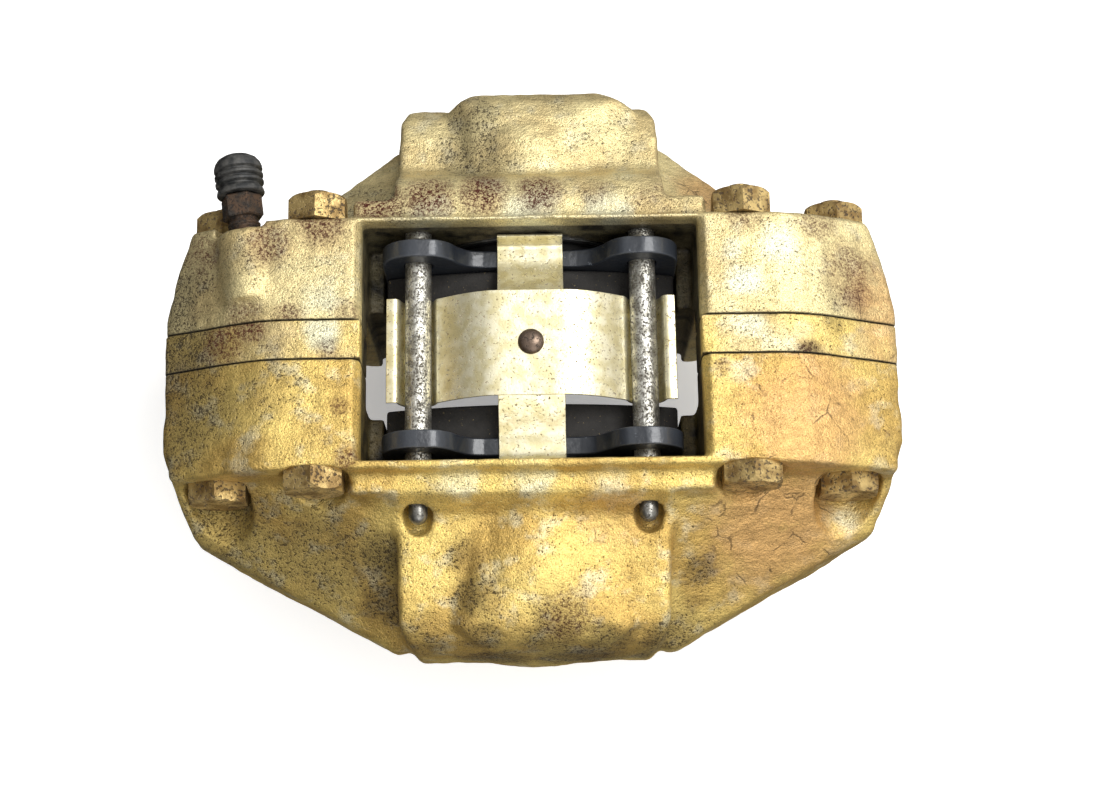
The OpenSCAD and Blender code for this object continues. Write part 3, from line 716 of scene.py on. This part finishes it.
# the room is bright above and behind, and falls off to a dim floor line in front
world = bpy.data.worlds.new("studioWorld")
world.use_nodes = True
sky = world.node_tree
around = addNode(sky, "TexCoord").outputs["Generated"]
facing = addNode(sky, "VectorMath", {0: around, 1: Vector(studio["towards"]).normalized()},
                 operation="DOT_PRODUCT")
falloff = addNode(sky, "MapRange", {0: facing, 1: -0.35, 2: 0.75}, interpolation_type="SMOOTHSTEP")
room = addNode(sky, "Mix", {0: falloff, 6: studio["low"], 7: studio["sky"]}, data_type="RGBA")
sky.links.new(room.outputs[2], sky.nodes["Background"].inputs[0])
sky.nodes["Background"].inputs[1].default_value = studio["bright"]
bpy.context.scene.world = world
bpy.context.scene.view_settings.view_transform = "Standard"
print("camera, lights and floor set")


def finish(obj, material, body, replaced):
    obj.data.materials.clear()
    obj.data.materials.append(material)
    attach(obj, body)
    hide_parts(*replaced)
    return obj


# castings

# 1 is the inboard half and -1 the outboard half; "backSlope" is where the shoulder falls from the rim
shape = {
    "rim": 8.8, "slopeStart": 80.1, "slopeDrop": 16.0, "shoulder": 41.5, "bossWall": 10.5,
    "behindPiston": 3.3, "floor": 12.6, "lowest": -84.0, "roofRadius": 143.5, "discCentre": -153.0,
    "slotHalf": 15.0, "pocket": 10.3, "boltHole": 5.6, "edgeChamfer": 1.6,
    "hump": (-20.5, 27.0), "humpShort": {1: 1.6, -1: 0.3}, "shoulderShort": {1: 5.6, -1: 0.6},
    "backSlope": {1: [(4.8, -1.8), (8.3, -4.2), (10.8, -9), (13.8, -12)], -1: [(2.2, -4.5), (5.5, -10)]},
    "cornerIn": {1: 8.0, -1: 2.5},
    "coarseVoxel": 1.1, "fineVoxel": 0.75, "filletPasses": 7, "edgePasses": 2,
    "mould": ((14, 0.7), (3.5, 0.5)), "spacerMould": ((14, 0.9), (3.5, 0.45)),
}
far = 150  # beyond the whole caliper, for cutting tools
rimY = wallY + shape["rim"]
bossR = pistonR + 0.05 + shape["bossWall"]
boreEnd = pistonHigh.y + shape["behindPiston"]
bossEnd = boreEnd + shape["floor"]
discTool = arc((0, shape["discCentre"]), shape["roofRadius"], 0, 360, 180)[:-1]


def endOutline():
    # a casting seen along the disc: flat top, falling ends, sides drawn in towards the axle
    start = shape["slopeStart"]
    return mirrored([(start - 6, blockRise), (start, blockRise - 0.8), (start + 7, blockRise - 3.6),
                     (endX, blockRise - shape["slopeDrop"]), (endX, -38), (endX - 22, -58),
                     (windowX + 4, shape["lowest"])])


def rectangle(x0, x1, z0, z1):
    return [(x0, z0), (x1, z0), (x1, z1), (x0, z1)]


def clipped(obj, outline, plane, low=-far, high=far, side=1):
    # keeps what lies inside the outline
    return carve(obj, [slab(outline, plane, low, high, side)], "INTERSECT")


def boltBlocks(side, depth):
    inner, corner = spacerHalf - 3, shape["cornerIn"][side]
    plan = [(0, inner), (endX, inner), (endX - 0.4, 12), (endX - 0.45 * corner, depth - 12),
            (endX - corner, depth), (0, depth)]
    blocks = newObject("blocks", slab(endOutline(), "xz", inner, depth, side))
    return clipped(blocks, mirrored(plan), "xy", side=side)


def bossCylinder(side):
    # the cylinder's end is domed; the shoulders and the hump in the middle lie on it
    dome = ((0, 22), (1.2, 18), (5, 12), (11, 7), (18, 3.2), (26, 0.8))
    profile = [(bossR, wallY)] + [(bossR - inward, bossEnd - short) for inward, short in dome]
    profile.append((6, bossEnd))
    return turned([(r, y * side) for r, y in profile], (0, 0, boreZ), segments=96)


def bossShoulders(side):
    # profile from the side, then rounded corners seen from above
    x, end = shape["shoulder"], bossEnd - shape["shoulderShort"][side]
    profile = [(wallY, boreZ - 6), (wallY, 0), (rimY, 0)]
    profile += [(rimY + back, z) for back, z in shape["backSlope"][side]]
    profile += [(end - 13, -13.8), (end - 7, -16.4), (end - 3, -20), (end - 0.8, -26), (end, -34),
                (end - 0.6, boreZ - 6)]
    corners = [(x, 30), (x - 1.6, end - 8), (x - 3.5, end - 3.5), (x - 8, end + 1)]
    shoulders = newObject("shoulders", slab(profile, "yz", -x, x, side))
    return clipped(shoulders, mirrored(corners), "xy", side=side)


def bossHump(side):
    left, right = shape["hump"]
    end = bossEnd - shape["humpShort"][side]
    profile = [(wallY, boreZ - 6), (wallY, -3), (rimY, -3), (rimY + 3, -9), (end - 14, -10),
               (end - 7, -12.6), (end - 3, -16.5), (end - 0.8, -24), (end, -33), (end - 0.6, boreZ - 6)]
    crown = [(left - 5, -16), (left + 3.5, -10.4), (right - 12, -10.2), (right, -13), (right + 7, -16),
             (right + 7, -60), (left - 5, -60)]
    plan = [(left - 5, 20), (right + 7, 20), (right + 7, end - 9), (right - 6, end - 1.5),
            (right - 14, end + 1), (left + 12, end + 1), (left + 4, end - 2), (left - 5, end - 9)]
    hump = newObject("hump", slab(profile, "yz", left - 6, right + 8, side))
    return clipped(clipped(hump, crown, "xz"), plan, "xy", side=side)


def websAtEnds(side, web):
    # plan seen from above; its top slopes away both outwards and along the caliper
    parts = []
    for s in (-1, 1):
        block = slab([(s * x, y) for x, y in web["plan"]], "xy", -62, 12, side)
        parts.append(sliced(block, (s * web["x"], side * web["y"], web["z"]),
                            (s * web["outward"], side * web["forward"], 1)))
    return clipped(clipped(merged("web", parts), web["profile"], "yz", side=side), endOutline(), "xz")


def windowTools(side):
    # the joint face, the pad window with its chamfered rim, and the slot for the disc
    wide = windowX + 1.5 * shape["edgeChamfer"]
    rim = mirrored([(windowX, blockRise - 2.6), (wide, blockRise + 0.4), (wide, 30)])
    return [
        slab(rectangle(-far, far, -far, 60), "xz", -5, spacerHalf, side),
        slab(rectangle(-windowX, windowX, -far, 60), "xz", -6, wallY, side),
        slab(rim, "xz", -6, wallY + 0.2, side),
        slab(discTool, "xz", -7, shape["slotHalf"], side),
    ]


def boltTools(side):
    tools = []
    for middle in nutBolts:
        tools.append(rod(shape["pocket"], seatY, seatY + 70, middle.x, middle.z, side))
        tools.append(rod(shape["boltHole"], -8, seatY + 1, middle.x, middle.z, side))
    return tools


def padLedges(side):
    # the pads' ends bear on these
    ledges = []
    for s in (-1, 1):
        low, high = sorted((s * (plateHigh.x + 0.5), s * (windowX + 1)))
        outline = rectangle(low, high, plateLow.z - 2, -26)
        ledges.append(slab(outline, "xz", shape["slotHalf"] + 2, wallY + 1, side))
    return ledges


def castHalf(name, side, depth, web, extras, cuts):
    cheek = slab(rectangle(-windowX - 3, windowX + 3, shape["lowest"], 0), "xz", wallY - 3, rimY, side)
    half = merged(name, [boltBlocks(side, depth), cheek, bossCylinder(side), bossShoulders(side),
                         bossHump(side), websAtEnds(side, web)] + extras)
    remesh(half, shape["coarseVoxel"], shape["filletPasses"])
    for grain, height in shape["mould"]:
        roughen(half, grain, height)
    carve(half, windowTools(side) + boltTools(side) + cuts)
    carve(half, padLedges(side), "UNION")
    carve(half, [rod(pistonR + 0.4, wallY - 1, boreEnd, 0, boreZ, side, 96),
                 rod(pistonR + 6.9, wallY - 1, wallY + 4, 0, boreZ, side, 96)])
    remesh(half, shape["fineVoxel"], shape["edgePasses"])
    return half


pinCutsOut, pinCutsIn = [], []
for x in (-pinX, pinX):
    pinCutsOut.append(rod(4.2, 0, rimY - 0.5, x, pinZ, -1))
    pinCutsOut.append(rod(3.3, 0, rimY + 2, x, pinZ, -1))
    opening = [(4.5, -rimY - 0.6), (4.3, -rimY - 6), (3.6, -rimY - 9.5), (1.5, -rimY - 11)]
    pinCutsOut.append(turned(opening, (x, 0, pinZ)))
    pinCutsIn.append(rod(4.2, 0, rimY, x, pinZ))
    pinCutsIn.append(rod(5.2, rimY - 3, rimY + 8, x, pinZ))

shoulderX = shape["shoulder"]
outboardWeb = {
    "plan": [(endX, 20), (endX, 30), (endX - 3, 42), (endX - 7.5, 53.5), (shoulderX + 24, bossEnd - 16.5),
             (shoulderX + 2, bossEnd - 4), (shoulderX - 2, bossEnd - 4), (shoulderX - 2, 20)],
    "profile": [(20, 20), (bossEnd, 20), (bossEnd, -54), (seatY - 2, -60), (20, -60)],
    "x": 64, "y": seatY + 1, "z": -5.5, "outward": 0.3, "forward": 0.92,
}
inboardWeb = {
    "plan": [(84, 20), (84, seatY - 0.6), (76, seatY + 4), (62, rimY + 9), (52, rimY + 18),
             (shoulderX + 1, rimY + 27), (shoulderX - 2, rimY + 27), (shoulderX - 2, 20)],
    "profile": [(20, 20), (rimY + 26, 20), (rimY + 28, -40), (rimY + 24, -52), (seatY - 2, -64), (20, -64)],
    "x": 64, "y": seatY, "z": -13.5, "outward": 0.3, "forward": 0.75,
}
outboardCasting = castHalf("outboardCasting", -1, seatY + 1.2, outboardWeb, [], pinCutsOut)
finish(outboardCasting, platedOutboard, "caliper", ["outboard_housing"])

lug = {"pitch": 88.9, "hole": 12.5, "radius": 13.8, "spotFace": 13.4}
inlet = {"radius": 9.4, "bore": 4.45, "belowBore": 14}
port = {"radius": 8.8, "bore": 5.25, "tilt": 7.5}
inletEnd = nodeBox("inboard_housing")[1].y
inletZ = boreZ - inlet["belowBore"]
portTilt = math.radians(port["tilt"])
bleederAxis = Vector((-math.sin(portTilt), math.cos(portTilt), 0))
bleederTurn = next(joint for joint in frame["joints"] if joint["name"] == "bleeder_turn")
bleederBase = (Vector(bleederTurn["pos_m"]) - origin) / mm

inboardExtras, inboardCuts = [], []
for s in (-1, 1):
    lugX = lug["pitch"] / 2
    outline = [(2, lugZ + 4 - lug["radius"])] + arc((lugX, lugZ), lug["radius"], -90, 0, 10)
    outline += [(lugX + lug["radius"], lugZ + 26), (2, lugZ + 26)]
    inboardExtras.append(slab([(s * x, z) for x, z in outline], "xz", wallY + 0.5, lugY))
    inboardCuts.append(rod(lug["hole"] / 2, wallY - 6, lugY + 5, s * lugX, lugZ))
    inboardCuts.append(rod(lug["spotFace"], lugY, lugY + 60, s * lugX, lugZ))
inboardExtras.append(rod(inlet["radius"], bossEnd - 8, inletEnd, 0, inletZ))
inboardExtras.append(turned([(port["radius"], -22), (port["radius"], -0.4), (port["radius"] - 0.6, 0)],
                            bleederBase, bleederAxis))
inboardCuts.append(rod(inlet["bore"], boreEnd - 1, inletEnd + 5, 0, inletZ))
inboardCuts.append(turned([(port["bore"], -15), (port["bore"], 1)], bleederBase, bleederAxis))
inboardCuts.append(turned([(9.0, 0), (9.0, 40)], bleederBase, bleederAxis))
inboardCasting = castHalf("inboardCasting", 1, seatY, inboardWeb, inboardExtras, pinCutsIn + inboardCuts)
finish(inboardCasting, platedInboard, "caliper", ["inboard_housing"])

for name, s in (("left_spacer", -1), ("right_spacer", 1)):
    block = newObject(name.replace("_s", "S"), slab(endOutline(), "xz", -spacerHalf - 3, spacerHalf + 3))
    remesh(block, shape["coarseVoxel"], shape["filletPasses"])
    for grain, height in shape["spacerMould"]:
        roughen(block, grain, height)
    low, high = sorted((s * windowX, s * far))
    clipped(block, rectangle(low, high, -far, 60), "xz", -spacerHalf + 0.12, spacerHalf - 0.12)
    carve(block, [slab(discTool, "xz", -20, 20)]
          + [rod(shape["boltHole"], -20, 20, middle.x, middle.z) for middle in nutBolts if middle.x * s > 0])
    remesh(block, 0.6, 2)
    finish(block, platedSpacer, "caliper", [name])
print("castings made")


# fasteners

bolt = {"acrossFlats": 17.0, "headHeight": 6.5, "nutHeight": 8.0, "shank": 5.0, "edge": 0.3}


def chamferedHex(radius, seat, top, x, z, hole=0.0):
    # the cone takes the six corners off the outer face
    low, high = sorted((seat, top))
    block = newObject("hex", slab(arc((x, z), radius, 90, 390, 5), "xz", low, high))
    outward = 1 if top > seat else -1
    cone = [(radius * 1.3, seat), (radius * 1.02, top - outward * 1.6), (radius * 0.87, top)]
    carve(block, [turned(cone, (x, 0, z))], "INTERSECT")
    if hole:
        carve(block, [rod(hole, low - 1, high + 1, x, z)])
    return block


hexR = bolt["acrossFlats"] / math.sqrt(3)
nutEnd = seatY + bolt["nutHeight"]
shank = [(bolt["shank"], -seatY - 1), (bolt["shank"], nutEnd - 0.4), (4.5, nutEnd), (5.0, nutEnd + 0.5),
         (4.6, nutEnd + 1.0), (4.7, nutEnd + 1.5), (3.8, nutEnd + 2.1), (2.0, nutEnd + 2.4)]
boltParts, nutParts = [], []
for middle in nutBolts:
    boltParts.append(chamferedHex(hexR, -seatY, -seatY - bolt["headHeight"], middle.x, middle.z))
    boltParts.append(turned(shank, (middle.x, 0, middle.z), segments=48))
    nutParts.append(chamferedHex(hexR, seatY, nutEnd, middle.x, middle.z, bolt["shank"] + 0.1))
bolts = bevelled(merged("bridgeBolts", boltParts), bolt["edge"])
nuts = bevelled(merged("bridgeNuts", nutParts), bolt["edge"])
finish(bolts, steel["bolt"], "caliper", ["bridge_bolts"])
finish(nuts, steel["bolt"], "caliper", ["bridge_nuts"])

pinShape = {"radius": 4.0, "tip": 2.8, "edge": 0.12}
for name in ("left_pad_pin", "right_pad_pin"):
    low, high = nodeBox(name)
    radius, tip, step = pinShape["radius"], pinShape["tip"], -(rimY - 1)
    profile = [(tip * math.sin(a), low.y + tip * (1 - math.cos(a)))
               for a in (0.15, 0.4, 0.7, 1.0, 1.3, math.pi / 2)]
    profile += [(tip, step - 0.6), (radius - 0.6, step - 0.1), (radius, step + 0.5), (radius, high.y - 0.5),
                (radius - 0.5, high.y)]
    centre = ((low.x + high.x) / 2, 0, pinZ)
    pin = newObject(name.replace("_p", "P"), turned(profile, centre, segments=48), smooth=True)
    finish(bevelled(pin, pinShape["edge"], 1, 40), steel["pin"], "caliper", [name])
    # the ends in the open are dull and dark
    pin.data.materials.append(steel["pinEnd"])
    for face in pin.data.polygons:
        if face.center.y < place((0, -rimY, 0)).y:
            face.material_index = 1

sleeve = {"outer": 4.98, "inner": 4.05, "edge": 0.15}
low, high = nodeBox("pin_sleeves")
sleeves = []
for x in (-pinX, pinX):
    ring = arc((x, pinZ), sleeve["outer"], 97, 439, 57) + arc((x, pinZ), sleeve["inner"], 443, 101, 57)
    sleeves.append(slab(ring, "xz", low.y, high.y))
pinSleeves = bevelled(merged("pinSleeves", sleeves), sleeve["edge"])
finish(pinSleeves, steel["ring"], "caliper", ["pin_sleeves"])
print("fasteners and pins made")


# pads

pad = {"earTop": 1.1, "dip": -11.8, "footChamfer": 10.0, "plateEdge": 0.7, "hole": 4.35,
       "liningEdge": 0.8, "slotHalf": 1.1, "slotFloor": 3.0, "liningTop": 14.5}


def plateOutline():
    halfWidth, foot = plateHigh.x, plateLow.z
    ear = arc((pinX - 0.2, pinZ), halfWidth - pinX + 0.2, 0, 90, 10)
    inner = flowing([(pinX - 0.2, pad["earTop"]), (pinX - 5.5, pad["earTop"] - 0.5), (pinX - 9.6, -2.6),
                     (pinX - 12.4, -7.2), (pinX - 15.6, -10.6), (pinX - 20, pad["dip"])], 4)[1:]
    right = [(halfWidth - pad["footChamfer"], foot), (halfWidth, foot + pad["footChamfer"])]
    return mirrored(right + ear + [tuple(point) for point in inner])


def backingPlate(name, side, replaced, body):
    plate = newObject(name, slab(plateOutline(), "xz", plateLow.y, plateHigh.y, side))
    carve(plate, [rod(pad["hole"], plateLow.y - 1, plateHigh.y + 1, x, pinZ, side, 48)
                  for x in (-pinX, pinX)])
    finish(bevelled(plate, pad["plateEdge"], 3), padPaint, body, [replaced])


def liningBlock(name, side, replaced, body):
    low, high = nodeBox("inboard_lining")
    radius = -shape["discCentre"] - pad["liningTop"]
    reach = math.degrees(math.asin(high.x / radius))
    outline = arc((0, shape["discCentre"]), radius, 90 + reach, 90 - reach, 24)
    outline += [(high.x, low.z + 4), (high.x - 4, low.z), (-high.x + 4, low.z), (-high.x, low.z + 4)]
    block = newObject(name, slab(outline, "xz", low.y, high.y, side))
    groove = rectangle(-pad["slotHalf"], pad["slotHalf"], -120, 0)
    carve(block, [slab(groove, "xz", low.y - 1, high.y - pad["slotFloor"], side)])
    finish(bevelled(block, pad["liningEdge"], 2), frictionBlock, body, [replaced])


for label, side in (("inboard", 1), ("outboard", -1)):
    backingPlate(label + "BackingPlate", side, label + "_backing_plate", label + "_pad")
    liningBlock(label + "Lining", side, label + "_lining", label + "_pad")
print("pads made")


# cross spring

spring = {"thickness": 0.8, "edge": 0.18, "archTop": -0.8, "archDrop": 8.6, "strapHalf": 10.0}
bridgeLow, bridgeHigh = nodeBox("spring_bridge")
thick = spring["thickness"]
flatX, archX = spring["strapHalf"] + 0.6, pinX - 5.6
under, topZ = pinZ - 4.8, spring["archTop"] - thick / 2
rightLine = [(0, topZ), (flatX, topZ)]
rightLine += [(flatX + (archX - flatX) * t, topZ - spring["archDrop"] * t ** 1.6)
              for t in (0.25, 0.5, 0.75, 0.92, 1.0)]
rightLine += [(archX + 1.2, under + 1.8), (pinX - 2.6, under + 0.1), (pinX, under - 0.3),
              (pinX + 3.4, under + 0.1), (pinX + 5.4, under + 2.6), (pinX + 6.1, under + 5.0),
              (pinX + 7.2, under + 5.9), (pinX + 9.6, under + 5.6)]
bridgeLine = [(-x, z) for x, z in reversed(rightLine[1:])] + rightLine
bridgeStrip = stripOutline(flowing(bridgeLine, 5), thick)
bridge = newObject("springBridge", slab(bridgeStrip, "xz", bridgeLow.y, bridgeHigh.y))
bevelled(bridge, spring["edge"], 2, 40)
finish(bridge, steel["spring"], "caliper", ["spring_bridge"])

strapLow, strapHigh = nodeBox("spring_strap")
overZ = plateHigh.z - 12.9 + 0.75 + thick / 2
midZ = spring["archTop"] - 1.5 * thick - 0.06
halfStrap = [(0, midZ), (4, midZ), (10, midZ - 0.8), (bridgeHigh.y, midZ - 3.2), (plateLow.y - 1, overZ),
             (plateHigh.y + 0.6, overZ), (wallY - 1.2, overZ + 4.4)]
strapLine = [(-y, z) for y, z in reversed(halfStrap[1:])] + halfStrap
strapStrip = stripOutline(flowing(strapLine, 5), thick)
strap = newObject("springStrap", slab(strapStrip, "yz", strapLow.x, strapHigh.x))
bevelled(strap, spring["edge"], 2, 40)
finish(strap, steel["spring"], "caliper", ["spring_strap"])

rivet = {"head": 3.9, "shank": 2.0, "foot": 3.4, "footHeight": 1.3}
rivetLow, rivetHigh = nodeBox("spring_rivet")
seatZ, crown = spring["archTop"], rivetHigh.z - spring["archTop"]
rivetProfile = [(rivet["foot"], rivetLow.z), (rivet["foot"], rivetLow.z + rivet["footHeight"]),
                (rivet["shank"], rivetLow.z + rivet["footHeight"] + 0.1), (rivet["shank"], seatZ),
                (rivet["head"], seatZ + 0.02)]
rivetProfile += [(rivet["head"] * math.cos(a), seatZ + 0.1 + (crown - 0.1) * math.sin(a))
                 for a in (0.1, 0.35, 0.65, 0.95, 1.25, 1.48)]
springRivet = newObject("springRivet", turned(rivetProfile, (0, 0, 0), (0, 0, 1), 48), smooth=True)
finish(bevelled(springRivet, 0.1, 1, 50), steel["rivet"], "caliper", ["spring_rivet"])
print("cross spring made")


# bleeder

bleeder = {"crest": 5.0, "root": 4.35, "pitch": 1.0, "turns": 14, "hex": 11.0, "nippleAt": 12.5,
           "nipple": 3.1}
stem = [(1.2, -14), (4.6, -11)]
for i in range(bleeder["turns"]):
    along = -10.6 + i * bleeder["pitch"]
    stem += [(bleeder["root"], along), (bleeder["crest"], along + 0.5 * bleeder["pitch"])]
stem += [(4.3, 3.9), (4.3, 5.0), (5.3, 5.2)]
corner = bleeder["hex"] / math.sqrt(3)
spanner = [(corner - 0.5, 5.0), (corner, 5.5), (corner, 11.6), (corner - 0.6, 12.2)]
neck, start = bleeder["nipple"], bleeder["nippleAt"]
nipple = [(5.2, start - 0.7), (neck, start - 0.5), (neck, start + 7), (neck + 0.7, start + 7.2),
          (neck - 0.1, start + 9.4), (1.0, start + 9.5)]
screw = merged("bleederScrew", [turned(stem, bleederBase, bleederAxis, 48),
                                turned(nipple, bleederBase, bleederAxis, 48),
                                turned(spanner, bleederBase, bleederAxis, 6)])
finish(bevelled(screw, 0.12, 1, 35), steel["bleeder"], "bleeder", ["bleeder_screw"])

# the cap from its bore over the lip, three ribs and the domed end, as radius and distance from the lip
capShape = [(4.25, 9.6), (4.25, 0.5), (4.9, 0), (6.9, 0.05), (7.3, 0.6), (7.0, 1.7), (6.3, 2.4), (6.2, 3.0),
            (7.35, 3.5), (7.4, 4.3), (6.35, 4.8), (6.3, 5.3), (7.4, 5.8), (7.4, 6.6), (6.4, 7.1),
            (6.4, 7.6), (7.4, 8.1), (7.3, 9.2), (6.9, 10.4), (6.0, 11.6), (4.6, 12.5), (2.6, 13.1),
            (0.6, 13.2)]
capProfile = [(radius, start + along) for radius, along in capShape]
cap = newObject("bleederCap", turned(capProfile, bleederBase, bleederAxis, 64), smooth=True)
finish(bevelled(cap, 0.15, 2, 35), capRubber, "bleeder_cap", ["bleeder_cap"])
print("bleeder made")


# pieces that keep their CAD shape

cadFinish = {
    "inboard_piston": steel["piston"], "outboard_piston": steel["piston"],
    "inboard_piston_seal": sealRubber, "outboard_piston_seal": sealRubber, "passage_seals": sealRubber,
    "inboard_dust_boot": sealRubber, "outboard_dust_boot": sealRubber,
    "inboard_boot_ring": steel["ring"], "outboard_boot_ring": steel["ring"],
}
for name, material in cadFinish.items():
    node = frame["nodes"][name]
    node.data.materials.clear()
    node.data.materials.append(material)
